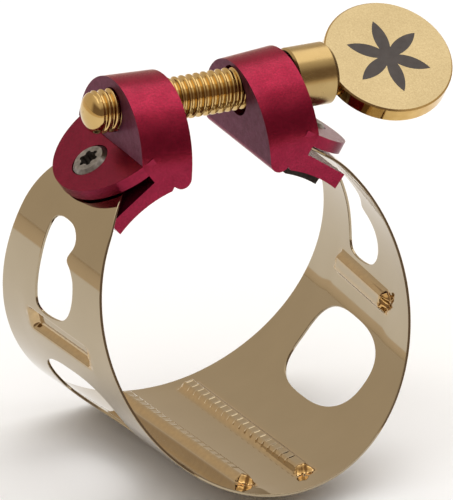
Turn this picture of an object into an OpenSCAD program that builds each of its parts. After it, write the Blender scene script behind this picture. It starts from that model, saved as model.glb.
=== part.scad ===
// Saxophone ligature: a sprung metal band closed by one thumb screw between two clamp blocks.
// X runs along the screw towards the thumb disc, Y along the mouthpiece towards the wide end
// of the band, and Z up. The origin is on the band's axis, straight below the screw.

/* [Band] */
// Radius of the middle of the strip, in the plane of the screw
band_r = 13; // [12.8:0.1:13.2]
// Thickness of the strip
band_t = 0.4; // [0.3:0.05:0.45]
// Growth of the radius for each millimetre along the mouthpiece
band_taper = 0.055; // [0:0.005:0.06]
// Angle from the bottom of the loop at which the round part ends
band_half_angle = 122.5; // [121:0.5:123]
// Height of the stamped ribs inside the band
rib_height = 0.75; // [0.4:0.05:0.9]
// Spacing of the ticks on the two bottom ribs
tick_pitch = 1.0; // [0.8:0.1:1.5]

/* [Blocks] */
// Distance of each block's inner face from the middle
block_in = 3.0; // [2.5:0.1:3.2]
// Thickness of a block along the screw
block_w = 4.1; // [3.9:0.1:4.3]
// Half of a block's length along the mouthpiece
block_half_y = 5.6; // [5.4:0.1:5.8]
// Thickness of the outer ear
ear_t = 0.95; // [0.9:0.05:1]
// Slope of the ears and of the slots below the horizontal
ear_angle = 36; // [35.5:0.5:36.5]
// Tilt of the left block on the screw
left_tilt = 2.5; // [2:0.5:4]
// Tilt of the right block on the screw
right_tilt = 5; // [2:0.5:5]
// Thickness of the pads
pad_t = 0.6; // [0.4:0.05:0.7]

/* [Screw] */
// Radius of the thread's crests
screw_r = 1.65; // [1.6:0.05:1.7]
// Thread pitch
screw_pitch = 0.6; // [0.5:0.1:0.7]
// Height of the screw above the band's axis
screw_z = 13.85; // [13.8:0.05:13.9]
// Radius of the clearance hole in the right block
clear_r = 1.95; // [1.85:0.05:2]
// Radius of the collar
collar_r = 2.35; // [2.2:0.05:2.5]
// Radius of the thumb disc
disc_r = 5.0; // [4.5:0.1:5.5]
// Thickness of the thumb disc
disc_t = 1.4; // [1.3:0.1:1.8]
// Angle by which the disc's face is turned up from facing forwards
disc_turn = 56; // [0:1:180]
// Radius of the lock screws
lock_r = 1.5; // [1.3:0.05:1.55]

/* [Hidden] */
$fn = 96;

far = 40;                     // longer than anything it has to cut through
fit_gap = 0.03;               // running clearance on a radius
gold = "gold";
red = "crimson";
rubber = "#25160f";
enamel = "#2b211c";
dark_steel = "dimgray";

// --- band ---
cone_y = [-18, 11];           // the cone from which the strip is cut
cone_slope = atan(band_taper);
edge_steps = 14;
rib_half_w = 0.85;            // half the width of a stamped rib
bottom_rib_angle = 11.5;
bottom_rib_y = [-14.2, 7.3];
side_rib_angle = 79;
side_rib_y = [-7.6, 1.9];
tick_count = 19;
first_tick_y = 6.5;
tick_size = [0.6, 0.4, 0.15];
tick_root = 0.2;              // how deep a tick is set in its rib
window_power = 2.7;           // squareness of the large windows
window_angle = 50.5;
window_half = [3.68, 5.67];   // half length round the band, half width along it
window_y = -3.2;
kidney_angle = 102.2;
// Kidney window, in (distance round the band from its middle, Y)
kidney_points = [[-3.1, 0.45], [0, 0.45], [2.9, 0.4], [3.7, -0.4], [3.75, -2.2], [3.2, -3.25],
                 [2.4, -3.6], [1.25, -3.2], [0.6, -4.1], [-0.2, -4.8], [-1.4, -5.05],
                 [-2.6, -4.7], [-3.5, -3.7], [-3.9, -2.0], [-3.85, -0.3]];
// Angle at which the strip turns to the slot, and how far it has come in at each edge there
right_knee = [130, 0, 0.3];
left_knee = [124, 0.05, 0.05];
right_end_y = [-4.9, 4.25];   // the strip's edges where it ends in a slot
left_end_y = [-3.7, 4.25];
slot_play = 0.06;             // gap above the strip in its slot
strip_bar_size = [0.05, 0.02, band_t];
knee_overlap = 0.3;           // degrees by which the strip's end overlaps the round part

// --- blocks ---
block_out = block_in + block_w;
arch_z = 10.5;                // centre of the block's rounded top
slot_low = [6.05, 9.88];      // closed end of the slot, leg side
slot_high = [6.5, 10.43];     // closed end of the slot, ear side
leg_tip_low = [8.05, 6.57];
leg_tip_high = [8.9, 7.5];
left_leg_extra = 0.8;         // the left leg reaches this much further
step_low = [4.55, 9.0];       // start of the arch under the leg
step_high = [4.4, 9.32];
corner_r = 0.75;
under_r = 9;                  // radius of the arch under the leg
ear_r = 5.55;                 // radius of the ear's round outline
ear_back = 0.6;               // its centre, this far inside the end face
ear_root = 1;                 // how far the ear runs into the barrel
lock_s = 2.1;                 // lock screw's distance from the end face, down the ear
pad_inset = 1;                // pads stop this far from a block's ends
pad_low = step_low + [0.2, -0.13];
pad_high = leg_tip_low + [-0.8, 0.66];
ear_dir = [cos(ear_angle), -sin(ear_angle)];
ear_nrm = [sin(ear_angle), cos(ear_angle)];
crease = slot_high + ear_t * ear_nrm;
pivot = [block_in + block_w / 2, screw_z];

// --- screw ---
tip_x = -9.45;
dome_l = 0.6;                 // length of the domed tip
thread_x = tip_x + 0.75;
crest_w = 0.16;
flank_w = 0.22;
collar_x = pivot[0] + block_w / 2 * cos(right_tilt) + collar_r * sin(right_tilt) + 0.05;
collar_end = 10.75;
collar_edge = [0.15, 0.35];   // chamfers at the block and at the disc
shank_r = 1.4;
shank_depth = 2;
thread_depth = 0.26;
disc_x = 15.6;
stem_r = 0.6;
stem_l = 2;
stem_in = 1.2;                // how deep the stem sits in the collar
disc_edge = 0.12;
inlay_depth = 0.15;
inlay_hub_r = 0.45;
petal_l = 3.1;
petal_r = 3.0;
petal_in = 2.45;              // how far a petal's two circles stand from its axis
lock_proud = 0.22;
lock_edge = [0.2, 0.3];       // chamfers at the tip and at the head
socket_depth = 0.8;
socket_r = 0.62;
lobe_r = 0.2;

function arc(c, r, a0, a1, n) =
    [for (i = [0:n]) c + r * [cos(a0 + (a1 - a0) * i / n), sin(a0 + (a1 - a0) * i / n)]];
// Centre of the arc of radius r from p to q that bulges to the left of the way from p to q
function bulge_centre(p, q, r) =
    let (m = (p + q) / 2, d = q - p, h = sqrt(r * r - d * d / 4))
    m + h * [d[1], -d[0]] / norm(d);
function angle_of(v) = atan2(v[1], v[0]);
function arc_between(p, q, r, n) =
    let (c = bulge_centre(p, q, r)) arc(c, r, angle_of(p - c), angle_of(q - c), n);

// Where the strip's edges lie along Y, from c = cosine of the angle from the bottom
function near_edge(c) = -(10.4 + 5.75 * c + 0.16 * (2 * c * c - 1));
function far_edge(c) = 6.05 + 2.3 * c + 0.43 * (2 * c * c - 1);
function strip_r(y) = band_r + band_taper * y;
function superellipse(half, power, n) =
    [for (i = [0:n - 1]) let (u = 360 * i / n, c = cos(u), s = sin(u))
        [half[0] * sign(c) * pow(abs(c), 2 / power), half[1] * sign(s) * pow(abs(s), 2 / power)]];
// Smooth closed curve through the points p, n steps between two of them
function closed_spline(p, n) =
    [for (k = [0:len(p) - 1], i = [0:n - 1])
        let (m = len(p), a = p[(k + m - 1) % m], b = p[k], c = p[(k + 1) % m],
             d = p[(k + 2) % m], t = i / n)
        0.5 * (2 * b + (c - a) * t + (2 * a - 5 * b + 4 * c - d) * t * t
               + (3 * b - a - 3 * c + d) * t * t * t)];

// A shape drawn in (X, Z) becomes a solid from y0 to y1
module along_y(y0, y1) {
    translate([0, y1, 0]) rotate([90, 0, 0]) linear_extrude(y1 - y0) children();
}

// A shape drawn in (Y, Z) becomes a solid from x0 to x1
module along_x(x0, x1) {
    translate([x0, 0, 0]) rotate([90, 0, 90]) linear_extrude(x1 - x0) children();
}

// Moves a solid drawn at the bottom of the loop to an angle round it
module round_band(angle) {
    rotate([0, -angle, 0]) children();
}

// A shape drawn in (distance round the band, Y) cuts through the strip at an angle
module window_at(angle) {
    depth = 4;
    round_band(angle) translate([0, 0, -band_r - depth / 2]) linear_extrude(depth) children();
}

// The strip's outline seen from the side, in (Y, Z)
module side_outline() {
    reach = band_r + 2;
    polygon([
        for (i = [0:edge_steps]) let (z = -reach + 2 * reach * i / edge_steps)
            [near_edge(-z / band_r), z],
        for (i = [edge_steps:-1:0]) let (z = -reach + 2 * reach * i / edge_steps)
            [far_edge(-z / band_r), z]
    ]);
}

module cone_shell() {
    rotate([-90, 0, 0]) rotate([0, 0, 90 - band_half_angle])
        rotate_extrude(angle = 2 * band_half_angle, $fn = 180) polygon([
            [strip_r(cone_y[0]) - band_t / 2, cone_y[0]],
            [strip_r(cone_y[0]) + band_t / 2, cone_y[0]],
            [strip_r(cone_y[1]) + band_t / 2, cone_y[1]],
            [strip_r(cone_y[1]) - band_t / 2, cone_y[1]]
        ]);
}

// Round bar along the cone whose top, above the strip, is a rib's crest. With thin > 0 it is
// the groove that stamping leaves outside.
module rib_bar(angle, ends, thin) {
    height = 4;
    length = ends[1] - ends[0];
    bar_r = (rib_half_w * rib_half_w + rib_height * rib_height) / (2 * rib_height);
    round_band(angle) intersection() {
        translate([0, 0, -band_r + band_t / 2 + rib_height - bar_r])
            rotate([-90 - cone_slope, 0, 0]) cylinder(h = far, r = bar_r - thin, center = true);
        translate([-band_r / 2, ends[0] + thin, -band_r - height / 2])
            cube([band_r, length - 2 * thin, height]);
    }
}

module all_ribs(thin) {
    for (a = [-bottom_rib_angle, bottom_rib_angle]) rib_bar(a, bottom_rib_y, thin);
    for (a = [-side_rib_angle, side_rib_angle]) rib_bar(a, side_rib_y, thin);
}

// Everything inside the strip's outer face
module cone_core() {
    rotate([-90, 0, 0]) rotate_extrude($fn = 180) polygon([
        [0, cone_y[0]], [strip_r(cone_y[0]) + band_t / 2, cone_y[0]],
        [strip_r(cone_y[1]) + band_t / 2, cone_y[1]], [0, cone_y[1]]
    ]);
}

// Cross ticks on the crest of a rib at the bottom of the loop
module ticks() {
    for (i = [0:tick_count - 1]) {
        y = first_tick_y - i * tick_pitch;
        crest_z = -strip_r(y) + band_t / 2 + rib_height;
        translate([-tick_size[0] / 2, y - tick_size[1] / 2, crest_z - tick_root])
            rotate([-cone_slope, 0, 0]) cube(tick_size + [0, 0, tick_root]);
    }
}

// A short bar at p in (X, Z) and at y, at one corner of a stretch of strip
module strip_bar(p, y, turn) {
    translate([p[0], y, p[1]]) rotate([0, turn, 0]) cube(strip_bar_size, center = true);
}

// The strip's two edges at knee = [angle, drop at the near edge, drop at the far edge]
module strip_bars_round(knee) {
    a = knee[0];
    inset = strip_bar_size[1] / 2;
    ys = [near_edge(cos(a)) + inset, far_edge(cos(a)) - inset];
    for (i = [0, 1]) {
        r = strip_r(ys[i]) - knee[i + 1];
        strip_bar(r * [sin(a), -cos(a)], ys[i], 180 - a);
    }
}

// The strip's end, from the round part through a knee into the slot of a tilted block
module strip_end(knee, end_y, tilt) {
    p = slot_high - (band_t / 2 + slot_play) * ear_nrm + 0.1 * ear_dir;
    hull() {
        strip_bars_round([band_half_angle - knee_overlap, 0, 0]);
        strip_bars_round(knee);
    }
    hull() {
        strip_bars_round(knee);
        for (y = end_y) tilt(tilt) strip_bar(p, y, ear_angle);
    }
}

module band() {
    color(gold) difference() {
        union() {
            difference() {
                intersection() {
                    union() {
                        cone_shell();
                        intersection() {
                            all_ribs(0);
                            cone_core();
                        }
                    }
                    along_x(-far, far) side_outline();
                }
                all_ribs(band_t);
            }
            for (a = [-bottom_rib_angle, bottom_rib_angle]) round_band(a) ticks();
            strip_end(right_knee, right_end_y, right_tilt);
            mirror([1, 0, 0]) strip_end(left_knee, left_end_y, left_tilt);
        }
        for (m = [0, 1]) mirror([m, 0, 0]) {
            window_at(window_angle) translate([0, window_y])
                polygon(superellipse(window_half, window_power, 48));
            window_at(kidney_angle) polygon(closed_spline(kidney_points, 4));
        }
    }
}

// Outline of a block's barrel and leg in (X, Z), for the right side; the leg is longer by more
module body_outline(more) {
    top = screw_z + 4;
    corner = [block_in + corner_r, 9.05 + corner_r];
    polygon([
        [block_in, top],
        each arc(corner, corner_r, 180, 300, 8),
        step_high,
        each arc_between(step_low, leg_tip_low + more * ear_dir, under_r, 10),
        leg_tip_high + more * ear_dir,
        slot_low,
        slot_high,
        crease,
        [block_out, crease[1] + 0.1],
        [block_out, top]
    ]);
}

module arch_outline() {
    translate([0, arch_z]) circle(block_half_y);
    translate([-block_half_y, 0]) square([2 * block_half_y, arch_z]);
}

// Moves a solid drawn upright at the origin to a place down the ear, square to it
module on_ear(s) {
    p = crease + s * ear_dir;
    translate([p[0], 0, p[1]]) rotate([0, ear_angle, 0]) children();
}

module ear() {
    intersection() {
        on_ear(0) translate([-ear_root, -far / 2, -ear_t]) cube([far / 2, far, ear_t]);
        on_ear(-ear_back) cylinder(h = far, r = ear_r, center = true);
    }
}

// Tilts a block, or what sits in it, about the screw
module tilt(angle) {
    translate([pivot[0], 0, pivot[1]]) rotate([0, -angle, 0])
        translate([-pivot[0], 0, -pivot[1]]) children();
}

module screw_hole(r) {
    translate([0, 0, screw_z]) rotate([0, 90, 0]) cylinder(h = far, r = r);
}

// A block on the right side, with its lock screw's hole but no hole for the thumb screw
module block_body(more) {
    difference() {
        union() {
            intersection() {
                along_y(-block_half_y, block_half_y) body_outline(more);
                along_x(0, far) arch_outline();
            }
            ear();
        }
        on_ear(lock_s) cylinder(h = 4 * ear_t, r = lock_r + fit_gap, center = true);
    }
}

module right_block() {
    color(red) tilt(right_tilt) difference() {
        block_body(0);
        screw_hole(clear_r);
    }
}

module left_block() {
    color(red) mirror([1, 0, 0]) difference() {
        tilt(left_tilt) block_body(left_leg_extra);
        screw_hole(screw_r + fit_gap);
    }
}

// Pad under the arch of a block's leg, set back from the block's ends
module pad(more) {
    c = bulge_centre(step_low, leg_tip_low + more * ear_dir, under_r);
    a0 = angle_of(pad_low - c);
    a1 = angle_of(pad_high + more * ear_dir - c);
    half_y = block_half_y - pad_inset;
    along_y(-half_y, half_y) polygon([
        each arc(c, under_r - 0.01, a0, a1, 8),
        each arc(c, under_r - pad_t, a1, a0, 8)
    ]);
}

module right_pad() {
    color(rubber) tilt(right_tilt) pad(0);
}

module left_pad() {
    color(rubber) mirror([1, 0, 0]) tilt(left_tilt) pad(left_leg_extra);
}

// Turns a profile of (distance along the screw, radius) points about the screw's axis
module turned(points) {
    translate([0, 0, screw_z]) rotate([0, 90, 0])
        rotate_extrude() polygon([for (p = points) [p[1], p[0]]]);
}

// The thread is cut as rings, so that it can turn in a plain hole
module screw_shaft() {
    root_r = screw_r - thread_depth;
    turns = floor((collar_x - thread_x) / screw_pitch);
    thread_end = thread_x + turns * screw_pitch;
    color(gold) turned([
        [tip_x, 0],
        each [for (u = [15:15:90]) [tip_x + dome_l * (1 - cos(u)), root_r * pow(sin(u), 0.7)]],
        each [for (i = [0:turns - 1]) let (x = thread_x + i * screw_pitch) each [
            [x, root_r], [x + flank_w, screw_r], [x + flank_w + crest_w, screw_r]
        ]],
        [thread_end, root_r],
        [thread_end, shank_r],
        [collar_x + shank_depth, shank_r],
        [collar_x + shank_depth, 0]
    ]);
}

module disc_place() {
    translate([disc_x, 0, screw_z]) rotate([90 - disc_turn, 0, 0]) children();
}

// Short stem that joins the disc to the collar
module disc_stem() {
    translate([collar_end - stem_in, 0, screw_z]) rotate([0, 90, 0])
        cylinder(h = stem_l, r = stem_r);
}

module disc_blank() {
    h = disc_t / 2;
    disc_place() rotate_extrude() polygon([
        [0, -h], [disc_r - disc_edge, -h], [disc_r, disc_edge - h],
        [disc_r, h - disc_edge], [disc_r - disc_edge, h], [0, h]
    ]);
}

module screw_collar() {
    edge = collar_edge;
    color(gold) difference() {
        turned([
            [collar_x, 0], [collar_x, collar_r - edge[0]], [collar_x + edge[0], collar_r],
            [collar_end - edge[1], collar_r], [collar_end, collar_r - edge[1]], [collar_end, 0]
        ]);
        translate([collar_x - 1, 0, screw_z]) rotate([0, 90, 0])
            cylinder(h = shank_depth + 1, r = shank_r);
        disc_blank();
        disc_stem();
    }
}

// Six pointed petals that meet in the middle, the dark filling in the disc's face
module inlay_outline() {
    circle(inlay_hub_r);
    for (a = [30:60:330]) rotate(a) translate([petal_l / 2, 0]) intersection() {
        translate([0, petal_in]) circle(petal_r);
        translate([0, -petal_in]) circle(petal_r);
    }
}

module inlay_solid(extra) {
    disc_place() translate([0, 0, disc_t / 2 - inlay_depth])
        linear_extrude(inlay_depth + extra) inlay_outline();
}

module thumb_disc() {
    color(gold) difference() {
        union() {
            disc_blank();
            disc_stem();
        }
        inlay_solid(1);
    }
}

module disc_inlay() {
    color(enamel) inlay_solid(0);
}

// Lock screw in an ear, with a six-lobed socket
module lock_screw() {
    length = lock_proud + ear_t + 0.02;
    edge = lock_edge;
    on_ear(lock_s) difference() {
        translate([0, 0, lock_proud - length]) rotate_extrude() polygon([
            [0, 0], [lock_r - edge[0], 0], [lock_r, edge[0]], [lock_r, length - edge[1]],
            [lock_r - edge[1], length], [0, length]
        ]);
        translate([0, 0, lock_proud - socket_depth]) linear_extrude(2 * socket_depth) {
            circle(socket_r);
            for (a = [0:60:300]) rotate(a) translate([socket_r, 0]) circle(lobe_r, $fn = 24);
        }
    }
}

module right_lock_screw() {
    color(dark_steel) tilt(right_tilt) lock_screw();
}

module left_lock_screw() {
    color(dark_steel) mirror([1, 0, 0]) tilt(left_tilt) lock_screw();
}

band();
left_block();
right_block();
left_pad();
right_pad();
screw_shaft();
screw_collar();
thumb_disc();
disc_inlay();
left_lock_screw();
right_lock_screw();
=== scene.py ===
"""Looks of a saxophone ligature. Lengths are in mm and become metres at the end of each mesh.

Frame: X along the thumb screw towards its disc, Y along the mouthpiece towards the wide end of
the band, Z up. The origin is on the band's axis, straight below the screw.
"""

import math

import bmesh
import bpy
import numpy as np
from mathutils import Matrix, Vector, kdtree
from mathutils.geometry import delaunay_2d_cdt


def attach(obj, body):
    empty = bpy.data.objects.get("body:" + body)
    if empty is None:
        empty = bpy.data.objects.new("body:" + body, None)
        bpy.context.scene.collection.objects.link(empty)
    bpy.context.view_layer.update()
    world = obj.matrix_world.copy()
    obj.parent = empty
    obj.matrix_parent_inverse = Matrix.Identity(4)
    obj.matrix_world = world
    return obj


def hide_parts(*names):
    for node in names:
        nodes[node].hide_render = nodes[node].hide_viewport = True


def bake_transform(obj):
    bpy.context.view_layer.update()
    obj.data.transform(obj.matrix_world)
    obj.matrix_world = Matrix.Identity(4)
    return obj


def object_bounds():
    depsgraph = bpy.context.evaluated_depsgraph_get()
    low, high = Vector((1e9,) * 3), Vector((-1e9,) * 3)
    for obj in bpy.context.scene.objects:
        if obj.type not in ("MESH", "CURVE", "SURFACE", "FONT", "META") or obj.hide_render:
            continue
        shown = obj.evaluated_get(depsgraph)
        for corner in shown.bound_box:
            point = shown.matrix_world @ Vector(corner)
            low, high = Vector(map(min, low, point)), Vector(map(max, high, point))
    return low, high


MM = 0.001

# --- the band, as in part.scad; only its sheet is drawn thinner ---
BAND_R = 13.0
TAPER = 0.055
TAPER_Y = (-8, 7)
CAD_THICK = 0.4
THICK = 0.22
EDGE_ROUND = 0.06
ROUND_END = math.radians(122.5)
BEND_R = 6.0
SLOT_HIGH = np.array([6.5, 10.43])
EAR_ANGLE = math.radians(36)
SLOT_GAP = 0.06
END_INSET = 0.1
PIVOT = np.array([5.05, 13.85])
TILTS = {1: math.radians(5), -1: math.radians(2.5)}
NEAR_END_Y = {1: -4.9, -1: -3.7}
FAR_END_Y = 4.25
WINDOW = {"u": BAND_R * math.radians(50.5), "y": -3.2, "half": (3.68, 5.67), "power": 2.7}
KIDNEY_U = BAND_R * math.radians(102.2)
KIDNEY = [
    (-3.1, 0.45), (0, 0.45), (2.9, 0.4), (3.7, -0.4), (3.75, -2.2), (3.2, -3.25),
    (2.4, -3.6), (1.25, -3.2), (0.6, -4.1), (-0.2, -4.8), (-1.4, -5.05),
    (-2.6, -4.7), (-3.5, -3.7), (-3.9, -2.0), (-3.85, -0.3),
]
BOTTOM_RIB = {"u": BAND_R * math.radians(11.5), "y": (-13.9, 7.3), "height": 0.62,
              "flank": (0.30, 0.95), "ticks": True}
SIDE_RIB = {"u": BAND_R * math.radians(79), "y": (-7.6, 1.9), "height": 0.6,
            "flank": (0.45, 1.0), "ticks": False}
RIB_REACH = 2.0
TICKS = [6.5 - i for i in range(19)]
TICK_HEIGHT = 0.045
TICK_WIDTH = 0.11
TICK_CURVE = 0.3
WRINKLE_HEIGHT = 0.09
DISH_DEPTH = 0.05
# Strength of the painted warm reflection on the ribs' flanks.
PAINTED_FLANK_SHEEN = 0.3

# --- spacing of the band's mesh ---
OUTLINE_GAP = 0.28
WINDOW_GAP = 0.22
KIDNEY_GAP = 0.2
COARSE_STEP = 0.45
FINE_STEP = (0.12, 0.085)
FRAME_STEP = 0.02
RIM_ARCS = [math.radians(k) for k in (30, 60, 90)]

# --- the screw, as in part.scad ---
SCREW_Z = 13.85
TIP_X = -9.45
SHAFT_END = 9.2
CREST_R = 1.65
THREAD_DEPTH = 0.27
PITCH = 0.6
CREST_FLAT = 0.09
FLANK = 0.3
THREAD_START = TIP_X + 0.62
THREAD_STOP = 6.7
RUN_IN = 0.35
RUN_OUT = 0.3
RELIEF_DEPTH = 0.22
DOME_LEN = 1.0
DOME_R = CREST_R - 0.03
DOME_POWER = 2.1
PER_TURN = 12
AROUND = 72
MERGE = 0.004
SLIVER = 0.0001
DISC_TURN = math.radians(56)
DISC_AXIS = (0.0, -math.cos(DISC_TURN), math.sin(DISC_TURN))

# --- materials ---
SPECKLE_SCALE = 7.0

# --- stage, lights and view; the floor and its blend are in metres ---
ROOM_FRONT = (0.24, 0.18, 0.14)
ROOM_BACK = (0.73, 0.63, 0.50)
ROOM_BLEND = (0.0, 0.35)
CEILING = (0.86, 0.78, 0.66)
CEILING_BLEND = (0.55, 0.85)
FLOOR_WHITE = (0.92, 0.92, 0.92)
FLOOR_FAR = (0.76, 0.65, 0.50)
FLOOR_BLEND = (0.155, 0.17)
FLOOR_HALF = 6.0
FLOOR_DROP = 0.02
COOL_FILL = (0.87, 0.98, 1.13)
VIEW_TURN = math.radians(25.82)
VIEW_RISE = math.radians(22.77)
VIEW_ROLL = math.radians(0.383)
VIEW_TARGET = (2.4175, 0.0, 0.867)
VIEW_DISTANCE = 1000.0
VIEW_HEIGHT = 500 / 13.352


def link(obj):
    """Put an object in the scene."""
    bpy.context.collection.objects.link(obj)
    return obj


def smoothstep(a, b, x):
    """0 before a, 1 after b, with a smooth rise between."""
    t = np.clip((x - a) / (b - a), 0, 1)
    return t * t * (3 - 2 * t)


def near_edge(c):
    """Y of the round part's near edge, from the cosine of the angle round from the bottom."""
    return -(10.4 + 5.75 * c + 0.16 * (2 * c * c - 1))


def far_edge(c):
    """Y of the round part's far edge, from the same cosine."""
    return 6.05 + 2.3 * c + 0.43 * (2 * c * c - 1)


class Side:
    """The straight end of the strip on one side: a line in (X, Z) that runs out of the slot."""

    def __init__(self, sign):
        tilt = TILTS[sign]
        turn = np.array([[math.cos(tilt), -math.sin(tilt)], [math.sin(tilt), math.cos(tilt)]])
        normal = np.array([math.sin(EAR_ANGLE), math.cos(EAR_ANGLE)])
        along = np.array([math.cos(EAR_ANGLE), -math.sin(EAR_ANGLE)])
        end = SLOT_HIGH - (CAD_THICK / 2 + SLOT_GAP) * normal + END_INSET * along
        end = PIVOT + turn @ (end - PIVOT)
        self.n, self.t = turn @ normal, turn @ along
        self.d, self.end = end @ self.n, end @ self.t
        self.u_end = self.split(np.array([0.0]))[3][0]

    def split(self, y):
        """Bend centre, angle where the bend starts, its length and the whole strip's length."""
        r = BAND_R + TAPER * np.clip(y, *TAPER_Y)
        a = self.d - BEND_R
        b = np.sqrt((r - BEND_R) ** 2 - a * a)
        centre = a * self.n + b[:, None] * self.t
        start = np.arctan2(centre[:, 1], centre[:, 0])
        bend = BEND_R * np.arccos(a / (r - BEND_R))
        return centre, start, bend, BAND_R * (start + math.pi / 2) + bend + b - self.end


SIDES = {s: Side(s) for s in (1, -1)}


def on_strip(u, y, h):
    """Points of the strip: u round it from the bottom, y along it, h out from its middle."""
    out = np.zeros((len(u), 3))
    for sign, side in SIDES.items():
        pick = u >= 0 if sign > 0 else u < 0
        a, yy, hh = np.abs(u[pick]), y[pick], h[pick]
        centre, start, bend, whole = side.split(yy)
        u_start = BAND_R * (start + math.pi / 2)
        q = (a - u_start) * (whole - u_start) / (side.u_end - u_start)
        r = BAND_R + TAPER * yy
        angle = np.where(q <= 0, a / BAND_R - math.pi / 2,
                         start + np.clip(q, 0, bend) / BEND_R)
        normal = np.stack([np.cos(angle), np.sin(angle)], -1)
        on_round = r[:, None] * normal
        on_bend = centre + BEND_R * normal - np.clip(q - bend, 0, None)[:, None] * side.t
        p = np.where((q <= 0)[:, None], on_round, on_bend) + hh[:, None] * normal
        out[pick] = np.stack([sign * p[:, 0], yy, p[:, 1]], -1)
    return out


def wrinkle(x, y, seed):
    """Small folds of torn sheet at the end of a rib."""
    return (np.sin(6.0 * x + 3.0 * y + seed) * np.cos(5.0 * y - 2.5 * x + 2 * seed)
            + 0.5 * np.sin(10.0 * x - 7.0 * y + 3 * seed))


def each_rib(u, y):
    """Every rib with the place of each point across it and along it."""
    for rib in (BOTTOM_RIB, SIDE_RIB):
        for sign in (1, -1):
            yield rib, sign, u - sign * rib["u"], y


def torn_end(rib, x, y):
    """1 at a rib's near end, less at its far end, 0 elsewhere."""
    near = np.exp(-(((y - rib["y"][0] - 0.35) / 0.42) ** 2))
    far = 0.4 * np.exp(-(((y - rib["y"][1] + 0.3) / 0.35) ** 2))
    return (near + far) * (1 - smoothstep(0.5, 1.1, np.abs(x)))


def rib_height(u, y):
    """How far the strip is pushed in by its pressed ribs."""
    total = np.zeros_like(u)
    for rib, sign, x, y in each_rib(u, y):
        y0, y1 = rib["y"]
        across = 1 - smoothstep(*rib["flank"], np.abs(x))
        ends = smoothstep(y0, y0 + 0.75, y) * (1 - smoothstep(y1 - 0.5, y1, y))
        rise = rib["height"] * across * ends
        if rib["ticks"]:
            on_top = 1 - smoothstep(0.35, 0.62, np.abs(x + 0.12 * sign))
            for tick in TICKS:
                place = y - tick - TICK_CURVE * x * x
                rise = rise + TICK_HEIGHT * on_top * np.exp(-((place / TICK_WIDTH) ** 2))
        rise = rise + WRINKLE_HEIGHT * torn_end(rib, x, y) * wrinkle(x, y, 3.0 + sign + rib["u"])
        beyond = np.clip(np.maximum(y0 - y, y - y1), 0, None)
        dish = -DISH_DEPTH * np.exp(-((x / RIB_REACH) ** 2) - (beyond / 1.2) ** 2)
        total += np.where(np.abs(x) < RIB_REACH, rise, 0) + dish
    return total


def stamped(u, y):
    """How strongly painted warm reflection and glint tint the plating: on the flanks and ends of
    the ribs.
    """
    total = np.zeros_like(u)
    for rib, sign, x, y in each_rib(u, y):
        y0, y1 = rib["y"]
        within = smoothstep(y0 - 0.1, y0 + 0.4, y) * (1 - smoothstep(y1 - 0.4, y1 + 0.1, y))
        flank = np.exp(-(((np.abs(x) - 0.62) / 0.3) ** 2)) * within
        # Painted reflection on the flanks and painted glint at the torn ends.
        total = np.maximum(total, np.maximum(PAINTED_FLANK_SHEEN * flank, torn_end(rib, x, y)))
    return np.clip(total, 0, 1)


def strip_point(u, y, h):
    """Points of the strip with its ribs pressed in."""
    return on_strip(u, y, h - rib_height(u, y))


def strip_frame(u, y, h):
    """Directions round, along and out of the strip at each point."""
    du = strip_point(u + FRAME_STEP, y, h) - strip_point(u - FRAME_STEP, y, h)
    dy = strip_point(u, y + FRAME_STEP, h) - strip_point(u, y - FRAME_STEP, h)
    n = np.cross(du, dy)
    return [v / np.linalg.norm(v, axis=1)[:, None] for v in (du, dy, n)]


def edge_y(u, edge, end_value):
    """An edge of the strip, easing from the round part's shape to its end in the slot."""
    a = np.abs(u)
    u_round = BAND_R * ROUND_END
    u_end = np.where(u > 0, SIDES[1].u_end, SIDES[-1].u_end)
    step = 0.01
    v0 = edge(math.cos(ROUND_END))
    slope = (v0 - edge(math.cos(ROUND_END - step))) / (step * BAND_R)
    w = u_end - u_round
    t = np.clip((a - u_round) / w, 0, 1)
    eased = ((2 * t**3 - 3 * t**2 + 1) * v0 + (t**3 - 2 * t**2 + t) * slope * w
             + (-2 * t**3 + 3 * t**2) * end_value)
    return np.where(a <= u_round, edge(np.cos(a / BAND_R)), eased)


def resample(loop, gap):
    """A closed loop with points about gap apart."""
    loop = np.asarray(loop, float)
    ahead = np.roll(loop, -1, axis=0)
    length = np.linalg.norm(ahead - loop, axis=1)
    along = np.concatenate([[0], np.cumsum(length)])
    n = max(12, int(round(along[-1] / gap)))
    at = np.linspace(0, along[-1], n, endpoint=False)
    closed = np.vstack([loop, loop[:1]])
    return np.stack([np.interp(at, along, closed[:, k]) for k in (0, 1)], -1)


def closed_spline(points, n=8):
    """A smooth closed curve through the points, with n steps between each two."""
    p = np.asarray(points, float)
    t = (np.arange(n) / n)[None, :, None]
    a, b, c, d = (np.roll(p, k, axis=0)[:, None, :] for k in (1, 0, -1, -2))
    return (0.5 * (2 * b + (c - a) * t + (2 * a - 5 * b + 4 * c - d) * t**2
                   + (3 * b - a - 3 * c + d) * t**3)).reshape(-1, 2)


def signed_area(loop):
    x, y = loop[:, 0], loop[:, 1]
    return 0.5 * np.sum(x * np.roll(y, -1) - np.roll(x, -1) * y)


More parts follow.
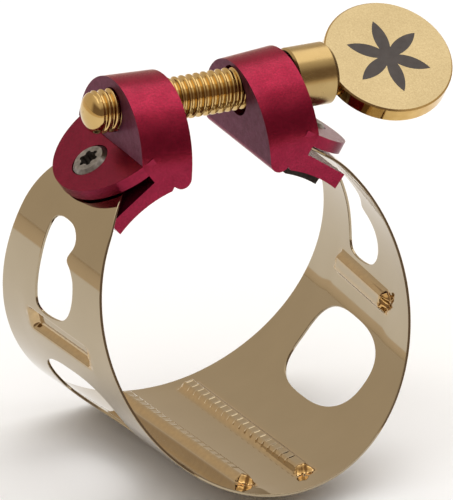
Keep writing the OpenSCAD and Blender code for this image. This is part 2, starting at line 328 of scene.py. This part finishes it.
def strip_loops():
    """The strip's outline, then its windows, each with the metal on its left."""
    right, left = SIDES[1].u_end, -SIDES[-1].u_end
    u = np.linspace(left, right, 400)
    near_end = np.where(u > 0, NEAR_END_Y[1], NEAR_END_Y[-1])
    outline = np.vstack([
        np.stack([u, edge_y(u, near_edge, near_end)], -1),
        np.stack([u, edge_y(u, far_edge, FAR_END_Y)], -1)[::-1],
    ])
    loops = [resample(outline, OUTLINE_GAP)]
    turn = np.linspace(0, 2 * math.pi, 240, endpoint=False)
    c, s, e = np.cos(turn), np.sin(turn), 2 / WINDOW["power"]
    oval = np.stack([WINDOW["half"][0] * np.sign(c) * np.abs(c) ** e,
                     WINDOW["half"][1] * np.sign(s) * np.abs(s) ** e], -1)
    kidney = closed_spline(KIDNEY)
    for sign in (1, -1):
        flip = np.array([sign, 1.0])
        loops.append(resample((oval + [WINDOW["u"], WINDOW["y"]]) * flip, WINDOW_GAP))
        loops.append(resample((kidney + [KIDNEY_U, 0]) * flip, KIDNEY_GAP))
    for i, loop in enumerate(loops):
        if (signed_area(loop) > 0) != (i == 0):
            loops[i] = loop[::-1]
    return loops


def right_of(loop):
    """Unit vectors to the right of the way round a loop."""
    d = np.roll(loop, -1, axis=0) - np.roll(loop, 1, axis=0)
    d /= np.linalg.norm(d, axis=1)[:, None]
    return np.stack([d[:, 1], -d[:, 0]], -1)


def inside(points, loops):
    """Even and odd crossings: True in the outline and out of the windows."""
    odd = np.zeros(len(points), bool)
    x, y = points[:, 0], points[:, 1]
    for loop in loops:
        for (x0, y0), (x1, y1) in zip(loop, np.roll(loop, -1, axis=0)):
            if y0 != y1:
                odd ^= ((y0 > y) != (y1 > y)) & (x < (x1 - x0) * (y - y0) / (y1 - y0) + x0)
    return odd


def strip_grid(loops):
    """Inner points: an even grid, finer where the ribs are."""
    gu, gy = np.meshgrid(np.arange(-33.3, 33.3, COARSE_STEP), np.arange(-17, 9.5, COARSE_STEP))
    found = [(np.stack([gu.ravel(), gy.ravel()], -1), 0.22, True)]
    for rib in (BOTTOM_RIB, SIDE_RIB):
        for sign in (1, -1):
            gu, gy = np.meshgrid(sign * rib["u"] + np.arange(-1.08, 1.09, FINE_STEP[0]),
                                 np.arange(rib["y"][0] - 0.12, rib["y"][1] + 0.13, FINE_STEP[1]))
            found.append((np.stack([gu.ravel(), gy.ravel()], -1), 0.1, False))
    tree = kdtree.KDTree(sum(len(loop) for loop in loops))
    for i, p in enumerate(np.vstack(loops)):
        tree.insert((p[0], p[1], 0), i)
    tree.balance()
    kept = []
    for points, clear, skip_ribs in found:
        points = points[inside(points, loops)]
        for p in points:
            if skip_ribs and any(
                abs(abs(p[0]) - rib["u"]) < 1.2 and rib["y"][0] - 0.3 < p[1] < rib["y"][1] + 0.3
                for rib in (BOTTOM_RIB, SIDE_RIB)
            ):
                continue
            if tree.find((p[0], p[1], 0))[2] > clear:
                kept.append(p)
    return np.array(kept)


def triangulate(loops):
    """Flat points and triangles of the strip, and the new place of each point of the loops."""
    points = np.vstack(loops + [strip_grid(loops)])
    edges, first = [], 0
    for loop in loops:
        n = len(loop)
        edges += [(first + i, first + (i + 1) % n) for i in range(n)]
        first += n
    result = delaunay_2d_cdt([Vector(p) for p in points], edges, [], 0, 1e-6)
    flat = np.array([tuple(v) for v in result[0]])
    tris = np.array([f for f in result[2] if len(f) == 3])
    new_of = {old: i for i, olds in enumerate(result[3]) for old in olds}
    tris = tris[inside(flat[tris].mean(axis=1), loops)]
    corner = flat[tris]
    a, b = corner[:, 1] - corner[:, 0], corner[:, 2] - corner[:, 0]
    wound = a[:, 0] * b[:, 1] - a[:, 1] * b[:, 0]
    tris[wound < 0] = tris[wound < 0][:, ::-1]
    return flat, tris, new_of


def rim_of(loop, out):
    """Rounded rim along one loop: its rows of points and their normals, outside to inside."""
    away = right_of(loop)
    lu, ly = loop[:, 0], loop[:, 1]
    round_dir, along_dir = strip_frame(lu, ly, np.zeros(len(loop)))[:2]
    side = away[:, :1] * round_dir + away[:, 1:] * along_dir
    pushed = rib_height(lu, ly)
    rows = []
    for k, way in [(k, 1) for k in RIM_ARCS] + [(k, -1) for k in RIM_ARCS[::-1]]:
        off = EDGE_ROUND * math.sin(k)
        h = way * (THICK / 2 - EDGE_ROUND * (1 - math.cos(k)))
        p = on_strip(lu + away[:, 0] * off, ly + away[:, 1] * off, h - pushed)
        v = side * math.sin(k) + out * math.cos(k) * way
        rows.append((p, v / np.linalg.norm(v, axis=1)[:, None]))
    return rows


def make_band():
    """The sprung band: two faces of a thin strip, joined round every edge by a rounded rim."""
    loops = [loop - EDGE_ROUND * right_of(loop) for loop in strip_loops()]
    flat, tris, new_of = triangulate(loops)
    u, y = flat[:, 0], flat[:, 1]
    n = len(flat)
    half = np.full(n, THICK / 2)
    verts = [strip_point(u, y, half), strip_point(u, y, -half)]
    out = strip_frame(u, y, half)[2]
    middle = strip_point(u, y, half * 0)
    if np.sum(out[:, [0, 2]] * middle[:, [0, 2]]) < 0:
        out = -out
        tris = tris[:, ::-1]
    normals = [out, -out]
    faces = [tuple(f) for f in tris] + [tuple(n + i for i in f[::-1]) for f in tris]
    rim_faces = []
    count, first = 2 * n, 0
    for loop in loops:
        m = len(loop)
        edge = [new_of[first + i] for i in range(m)]
        rings = [edge]
        for p, v in rim_of(loop, out[edge]):
            verts.append(p)
            normals.append(v)
            rings.append(list(range(count, count + m)))
            count += m
        rings.append([n + i for i in edge])
        for r0, r1 in zip(rings, rings[1:]):
            for i in range(m):
                j = (i + 1) % m
                rim_faces.append((r0[i], r0[j], r1[j], r1[i]))
        first += m
    normals = np.vstack(normals)
    mesh = bpy.data.meshes.new("sprung_band")
    mesh.from_pydata((np.vstack(verts) * MM).tolist(), [], faces + rim_faces)
    mesh.validate()
    mesh.polygons.foreach_set("use_smooth", [True] * len(mesh.polygons))
    rim = np.zeros(len(mesh.polygons), np.int32)
    rim[len(faces):] = 1
    mesh.polygons.foreach_set("material_index", rim)
    bm = bmesh.new()
    bm.from_mesh(mesh)
    if sum(f.normal.dot(Vector(normals[f.verts[0].index])) for f in bm.faces) < 0:
        bmesh.ops.reverse_faces(bm, faces=bm.faces)
        bm.to_mesh(mesh)
    bm.free()
    mesh.normals_split_custom_set_from_vertices(normals.tolist())
    # Painted reflection and glint: a weight for the warm tint on the ribs' flanks and ends.
    warm = mesh.attributes.new("stamped", "FLOAT", "POINT")
    on_face = stamped(u, y)
    warm.data.foreach_set("value", np.concatenate([on_face, on_face, np.zeros(count - 2 * n)]))
    return link(bpy.data.objects.new("sprung_band", mesh))


def make_screw():
    """A shaft with a real right-hand thread and a domed tip."""
    rows = int((SHAFT_END - TIP_X + 2 * PITCH) / PITCH * PER_TURN)
    j, i = np.meshgrid(np.arange(rows), np.arange(AROUND), indexing="ij")
    angle = 2 * math.pi * i / AROUND
    x = TIP_X - PITCH + PITCH * (j / PER_TURN + i / AROUND)
    phase = (j % PER_TURN) / PER_TURN
    flank = np.clip((np.abs(phase - 0.5) - CREST_FLAT) / FLANK, 0, 1)
    relief = smoothstep(THREAD_STOP - RUN_OUT, THREAD_STOP, x)
    cut = smoothstep(0, 1, flank) * THREAD_DEPTH
    cut = cut * smoothstep(THREAD_START, THREAD_START + RUN_IN, x) * (1 - relief)
    cut = cut + RELIEF_DEPTH * relief
    back = np.clip((TIP_X + DOME_LEN - x) / DOME_LEN, 0, 1)
    dome = DOME_R * np.sqrt(np.clip(1 - back**DOME_POWER, 0, 1))
    r = np.minimum(CREST_R - cut, np.where(x < TIP_X + DOME_LEN, dome, np.inf))
    x = np.clip(x, TIP_X, SHAFT_END)
    p = np.stack([x, -r * np.cos(angle), SCREW_Z + r * np.sin(angle)], -1).reshape(-1, 3)
    faces = []
    for a in range(rows - 1):
        for b in range(AROUND - 1):
            k = a * AROUND + b
            faces.append((k, k + 1, k + AROUND + 1, k + AROUND))
        if a + PER_TURN + 1 < rows:
            k, far = a * AROUND + AROUND - 1, (a + PER_TURN) * AROUND
            faces.append((k, far, far + AROUND, k + AROUND))
    mesh = bpy.data.meshes.new("thread")
    mesh.from_pydata((p * MM).tolist(), [], faces)
    bm = bmesh.new()
    bm.from_mesh(mesh)
    bmesh.ops.remove_doubles(bm, verts=bm.verts, dist=MERGE * MM)
    bmesh.ops.dissolve_degenerate(bm, dist=SLIVER * MM, edges=bm.edges)
    open_edges = [e for e in bm.edges if e.is_boundary]
    bmesh.ops.holes_fill(bm, edges=open_edges, sides=0)
    bmesh.ops.recalc_face_normals(bm, faces=bm.faces)
    bm.to_mesh(mesh)
    bm.free()
    mesh.polygons.foreach_set("use_smooth", [True] * len(mesh.polygons))
    return link(bpy.data.objects.new("threaded_shaft", mesh))


# --- materials ---
def new_material(name, **constants):
    """A new material, its node tree and its shader, with constants set on the shader."""
    material = bpy.data.materials.new(name)
    material.use_nodes = True
    tree = material.node_tree
    shader = tree.nodes["Principled BSDF"]
    for key, value in constants.items():
        shader.inputs[key.replace("_", " ")].default_value = value
    return material, tree, shader


def node(tree, kind, **values):
    """A new node; each value goes to the socket of that name, or else to the setting."""
    made = tree.nodes.new(kind)
    for key, value in values.items():
        if key in made.inputs:
            made.inputs[key].default_value = value
        else:
            setattr(made, key, value)
    return made


def noise(tree, scale, detail=3.0, stretch=(1, 1, 1), rough=0.5):
    """Noise in the object's own space, scale in features per mm."""
    place = node(tree, "ShaderNodeTexCoord")
    mapping = node(tree, "ShaderNodeMapping")
    mapping.inputs["Scale"].default_value = tuple(s * scale / MM for s in stretch)
    tree.links.new(place.outputs["Object"], mapping.inputs["Vector"])
    made = node(tree, "ShaderNodeTexNoise", Scale=1.0, Detail=detail, Roughness=rough)
    tree.links.new(mapping.outputs["Vector"], made.inputs["Vector"])
    return made.outputs["Fac"]


def ramp(tree, source, low, high, start=0.3, end=0.7):
    """Low to high as source goes from start to end; both are numbers or both colours."""
    if isinstance(low, tuple):
        made = node(tree, "ShaderNodeValToRGB")
        ends = made.color_ramp.elements
        ends[0].position, ends[1].position = start, end
        ends[0].color, ends[1].color = (*low, 1), (*high, 1)
        tree.links.new(source, made.inputs["Fac"])
        return made.outputs["Color"]
    made = node(tree, "ShaderNodeMapRange")
    for key, value in (("From Min", start), ("From Max", end), ("To Min", low), ("To Max", high)):
        made.inputs[key].default_value = value
    tree.links.new(source, made.inputs["Value"])
    return made.outputs["Result"]


def mixed(tree, kind, factor, a, b):
    """a where factor is 0 and b where it is 1; kind is RGBA or FLOAT."""
    made = node(tree, "ShaderNodeMix", data_type=kind)
    used = {i.name: i for i in made.inputs if i.enabled}
    tree.links.new(factor, used["Factor"])
    tree.links.new(a, used["A"])
    tree.links.new(b, used["B"])
    return next(o for o in made.outputs if o.enabled)


def multiplied(tree, a, b):
    """One colour times another."""
    made = node(tree, "ShaderNodeMix", data_type="RGBA", blend_type="MULTIPLY", Factor=1.0)
    tree.links.new(a, made.inputs["A"])
    tree.links.new(b, made.inputs["B"])
    return made.outputs["Result"]


def calculated(tree, operation, source, second=0.0):
    """One step of arithmetic on source."""
    made = node(tree, "ShaderNodeMath", operation=operation)
    made.inputs[1].default_value = second
    tree.links.new(source, made.inputs[0])
    return made.outputs["Value"]


def bump(tree, shader, height, distance):
    """Bump on the shader, distance in mm."""
    made = node(tree, "ShaderNodeBump", Strength=1.0, Distance=distance * MM)
    tree.links.new(height, made.inputs["Height"])
    tree.links.new(made.outputs["Normal"], shader.inputs["Normal"])


def speckle(tree, low, high):
    """The finest grain, as a tone to multiply a colour by."""
    return ramp(tree, noise(tree, SPECKLE_SCALE, 3.0, rough=0.7), low, high)


def plated(name, low, high, rough, grain=0.0004, stretch=(1, 1, 1), grain_scale=6.0):
    """Polished gold plate with faint handling marks."""
    material, tree, shader = new_material(name, Metallic=1.0)
    cloud = noise(tree, 0.25, 4.0)
    tree.links.new(ramp(tree, cloud, low, high), shader.inputs["Base Color"])
    tree.links.new(ramp(tree, noise(tree, 1.1, 5.0), *rough), shader.inputs["Roughness"])
    bump(tree, shader, noise(tree, grain_scale, 2.0, stretch), grain)
    return material


def feeding(shader, socket):
    """The output that is linked to a socket."""
    return shader.inputs[socket].links[0].from_socket


def disc_gold(name, face_low, face_high, rim_low, rim_high):
    """Satin gold faces and a polished rim, told apart by the disc's own axis; the rim's redder
    colour is a painted reflection of the red blocks.
    """
    material = plated(name, face_low, face_high, (0.14, 0.24), 0.001)
    tree = material.node_tree
    shader = tree.nodes["Principled BSDF"]
    place = node(tree, "ShaderNodeTexCoord")
    along = node(tree, "ShaderNodeVectorMath", operation="DOT_PRODUCT")
    along.inputs[1].default_value = DISC_AXIS
    tree.links.new(place.outputs["Normal"], along.inputs[0])
    facing = calculated(tree, "ABSOLUTE", along.outputs["Value"])
    on_rim = ramp(tree, facing, 1.0, 0.0, 0.5, 0.9)
    face = multiplied(tree, feeding(shader, "Base Color"),
                      speckle(tree, (0.88, 0.86, 0.83), (1.08, 1.08, 1.1)))
    # Painted reflection: the polished rim's redder gold stands for the red blocks reflected in
    # it.
    rim = ramp(tree, noise(tree, 1.5, 4.0), rim_low, rim_high)
    tree.links.new(mixed(tree, "RGBA", on_rim, face, rim), shader.inputs["Base Color"])
    polish = ramp(tree, noise(tree, 1.5, 4.0), 0.05, 0.09)
    tree.links.new(mixed(tree, "FLOAT", on_rim, feeding(shader, "Roughness"), polish),
                   shader.inputs["Roughness"])
    return material


def gold_band(name, low, high, warm_low, warm_high):
    """Polished gold plate, with painted warm reflection and glint on the flanks and ends of the
    ribs.
    """
    material = plated(name, low, high, (0.03, 0.06), 0.0002)
    tree = material.node_tree
    shader = tree.nodes["Principled BSDF"]
    # Painted reflection and glint: warm colour mixed in by that weight.
    painted_glint_weight = node(tree, "ShaderNodeAttribute", attribute_name="stamped")
    warm = ramp(tree, noise(tree, 2.5, 4.0), warm_low, warm_high)
    tree.links.new(mixed(tree, "RGBA", painted_glint_weight.outputs["Fac"], feeding(shader, "Base Color"), warm),
                   shader.inputs["Base Color"])
    return material


def anodised(name, low, high, end_low, end_high):
    """Satin aluminium under a dyed anodic layer with a fine grain; its sawn ends are duller, and
    painted shade darkens its ears and upright faces.
    """
    material, tree, shader = new_material(
        name, Metallic=0.85, Coat_Weight=0.12, Coat_Roughness=0.22, Coat_IOR=1.6,
        Specular_Tint=(0.66, 0.52, 0.56, 1.0))
    place = node(tree, "ShaderNodeTexCoord")
    split = node(tree, "ShaderNodeSeparateXYZ")
    tree.links.new(place.outputs["Normal"], split.inputs["Vector"])
    to_right, upward = split.outputs["X"], split.outputs["Z"]
    at_end = ramp(tree, calculated(tree, "ABSOLUTE", to_right), 0.0, 1.0, 0.97, 0.99)
    colour = mixed(tree, "RGBA", at_end, ramp(tree, noise(tree, 0.9, 5.0), low, high),
                   ramp(tree, noise(tree, 1.6, 5.0), end_low, end_high))
    # Painted shade: the colour is darker on the two ears' sloping tops, the right one most, and a
    # little darker on upright faces; the last tone is the fine grain.
    to_left = calculated(tree, "MULTIPLY", to_right, -1.0)
    for tone in (ramp(tree, to_left, (1.0, 1.0, 1.0), (0.72, 0.6, 0.8), 0.3, 0.5),
                 ramp(tree, to_right, (1.0, 1.0, 1.0), (0.50, 0.50, 0.50), 0.3, 0.5),
                 ramp(tree, upward, (0.88, 0.88, 0.92), (1.0, 1.0, 1.0), 0.1, 0.6),
                 speckle(tree, (0.75, 0.75, 0.75), (1.3, 1.3, 1.3))):
        colour = multiplied(tree, colour, tone)
    tree.links.new(colour, shader.inputs["Base Color"])
    rough = mixed(tree, "FLOAT", at_end, ramp(tree, noise(tree, 2.0, 4.0), 0.19, 0.26),
                  ramp(tree, noise(tree, 2.0, 4.0), 0.5, 0.62))
    tree.links.new(rough, shader.inputs["Roughness"])
    bump(tree, shader, noise(tree, 6.0, 4.0, rough=0.8), 0.013)
    return material


def mottled(name, low, high, colour_noise, rough, rough_noise, grain, grain_noise, **constants):
    """A material whose colour, roughness and surface each follow a noise of their own."""
    material, tree, shader = new_material(name, **constants)
    tree.links.new(ramp(tree, noise(tree, *colour_noise), low, high), shader.inputs["Base Color"])
    tree.links.new(ramp(tree, noise(tree, *rough_noise), *rough), shader.inputs["Roughness"])
    bump(tree, shader, noise(tree, **grain_noise), grain)
    return material


def set_material(obj, *materials):
    """Give an object these materials only."""
    obj.data.materials.clear()
    for m in materials:
        obj.data.materials.append(m)


# --- stage ---
def add_area(name, at, to, size, radiance, colour=(1.0, 1.0, 1.0), glossy=True):
    """A soft rectangular light whose face has that radiance; all in metres."""
    light = bpy.data.lights.new(name, "AREA")
    light.shape = "RECTANGLE"
    light.size, light.size_y = size
    light.energy = radiance * math.pi * size[0] * size[1]
    light.color = colour
    obj = bpy.data.objects.new(name, light)
    obj.location = at
    obj.rotation_mode = "QUATERNION"
    obj.rotation_quaternion = (Vector(to) - Vector(at)).to_track_quat("-Z", "Y")
    obj.visible_glossy = glossy
    link(obj)


def make_stage(floor_z):
    """A pale floor that turns to the walls' colour outside the view."""
    mesh = bpy.data.meshes.new("floor")
    corners = ((-1, -1), (1, -1), (1, 1), (-1, 1))
    mesh.from_pydata([(x * FLOOR_HALF, y * FLOOR_HALF, floor_z) for x, y in corners], [],
                     [(0, 1, 2, 3)])
    floor = link(bpy.data.objects.new("floor", mesh))
    material, tree, shader = new_material("floor_white", Roughness=0.95, Specular_IOR_Level=0.1)
    place = node(tree, "ShaderNodeTexCoord")
    away = node(tree, "ShaderNodeVectorMath", operation="LENGTH")
    tree.links.new(place.outputs["Object"], away.inputs[0])
    tree.links.new(ramp(tree, away.outputs["Value"], FLOOR_WHITE, FLOOR_FAR, *FLOOR_BLEND),
                   shader.inputs["Base Color"])
    mesh.materials.append(material)


def make_world():
    """A studio room: warm grey behind the object, dim in front of it, pale overhead."""
    world = bpy.data.worlds.new("room")
    bpy.context.scene.world = world
    world.use_nodes = True
    tree = world.node_tree
    back = tree.nodes["Background"]
    place = node(tree, "ShaderNodeTexCoord")
    split = node(tree, "ShaderNodeSeparateXYZ")
    tree.links.new(place.outputs["Generated"], split.inputs["Vector"])
    walls = ramp(tree, split.outputs["Y"], ROOM_FRONT, ROOM_BACK, *ROOM_BLEND)
    mix = node(tree, "ShaderNodeMix", data_type="RGBA")
    mix.inputs["B"].default_value = (*CEILING, 1)
    tree.links.new(ramp(tree, split.outputs["Z"], 0.0, 1.0, *CEILING_BLEND),
                   mix.inputs["Factor"])
    tree.links.new(walls, mix.inputs["A"])
    tree.links.new(mix.outputs["Result"], back.inputs["Color"])
    back.inputs["Strength"].default_value = 1.0


def make_camera():
    """The viewpoint: a long lens, from the left and above."""
    look = Vector((math.sin(VIEW_TURN) * math.cos(VIEW_RISE),
                   math.cos(VIEW_TURN) * math.cos(VIEW_RISE), -math.sin(VIEW_RISE)))
    level = Vector((math.cos(VIEW_TURN), -math.sin(VIEW_TURN), 0))
    up = level.cross(look)
    right = level * math.cos(VIEW_ROLL) + up * math.sin(VIEW_ROLL)
    top = up * math.cos(VIEW_ROLL) - level * math.sin(VIEW_ROLL)
    data = bpy.data.cameras.new("camera")
    data.sensor_width = 36.0
    data.lens = VIEW_DISTANCE * data.sensor_width / VIEW_HEIGHT
    data.clip_start, data.clip_end = 0.01, 20
    cam = bpy.data.objects.new("camera", data)
    cam.rotation_mode = "QUATERNION"
    cam.rotation_quaternion = Matrix((right, top, -look)).transposed().to_quaternion()
    cam.location = (Vector(VIEW_TARGET) - look * VIEW_DISTANCE) * MM
    bpy.context.scene.camera = link(cam)


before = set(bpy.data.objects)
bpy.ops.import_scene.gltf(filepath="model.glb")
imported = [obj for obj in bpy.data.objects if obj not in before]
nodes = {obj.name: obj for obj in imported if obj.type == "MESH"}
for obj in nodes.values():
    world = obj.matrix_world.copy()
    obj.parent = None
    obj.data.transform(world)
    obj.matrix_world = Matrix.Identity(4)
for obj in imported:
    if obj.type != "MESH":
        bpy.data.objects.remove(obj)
cad_low, cad_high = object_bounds()

# The last two colours are painted warm reflection and glint on the ribs.
BAND_GOLD = gold_band("band_gold", (0.385, 0.316, 0.215), (0.405, 0.333, 0.228),
                      (0.58, 0.34, 0.12), (0.82, 0.54, 0.22))
BAND_EDGE = plated("band_edge", (0.66, 0.42, 0.18), (0.78, 0.52, 0.25), (0.1, 0.2))
SCREW_GOLD = plated("screw_gold", (0.51, 0.35, 0.135), (0.64, 0.44, 0.18), (0.06, 0.12))
TURNED_GOLD = plated("turned_gold", (0.43, 0.305, 0.13), (0.48, 0.345, 0.155), (0.2, 0.28),
                     0.0006, (6, 0.3, 0.3), 4.0)
# The last two colours are the rim's redder gold, a painted reflection of the red blocks.
DISC_GOLD = disc_gold("disc_gold", (0.405, 0.32, 0.175), (0.445, 0.355, 0.198),
                      (0.60, 0.38, 0.12), (0.70, 0.47, 0.17))
RED = anodised("red_anodised", (0.25, 0.007, 0.033), (0.31, 0.012, 0.044),
               (0.19, 0.055, 0.075), (0.25, 0.085, 0.11))
PAD = mottled("pad_dark", (0.012, 0.007, 0.004), (0.03, 0.018, 0.012), (3.0, 5.0),
              (0.65, 0.9), (4.0, 3.0), 0.03, {"scale": 5.0, "detail": 5.0, "rough": 0.7})
STEEL = mottled("lock_steel", (0.16, 0.152, 0.15), (0.38, 0.36, 0.355), (2.2, 5.0),
                (0.3, 0.55), (3.0, 4.0), 0.006, {"scale": 6.0, "detail": 4.0, "rough": 0.7},
                Metallic=1.0)
ENAMEL = mottled("inlay_enamel", (0.028, 0.018, 0.016), (0.05, 0.035, 0.03), (1.5, 4.0),
                 (0.3, 0.5), (3.0, 3.0), 0.004, {"scale": 5.0, "detail": 3.0})

band = make_band()
set_material(band, BAND_GOLD, BAND_EDGE)
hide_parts("band")
shaft = make_screw()
set_material(shaft, SCREW_GOLD)
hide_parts("screw_shaft")
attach(shaft, "thumb_screw")

for name, material in (("left_block", RED), ("right_block", RED), ("left_pad", PAD),
                       ("right_pad", PAD), ("screw_collar", TURNED_GOLD),
                       ("thumb_disc", DISC_GOLD), ("disc_inlay", ENAMEL),
                       ("left_lock_screw", STEEL), ("right_lock_screw", STEEL)):
    set_material(nodes[name], material)

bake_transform(band)

make_camera()
make_world()
make_stage(cad_low.z - FLOOR_DROP * MM)
add_area("top_soft", (0.17, 0.12, 0.37), (0.17, 0.12, 0.0), (0.36, 0.44), 0.95)
add_area("floor_fill", (0.0, 0.0, 1.0), (0, 0, 0), (4.0, 4.0), 0.50, COOL_FILL, glossy=False)
bpy.context.scene.view_settings.view_transform = "Standard"
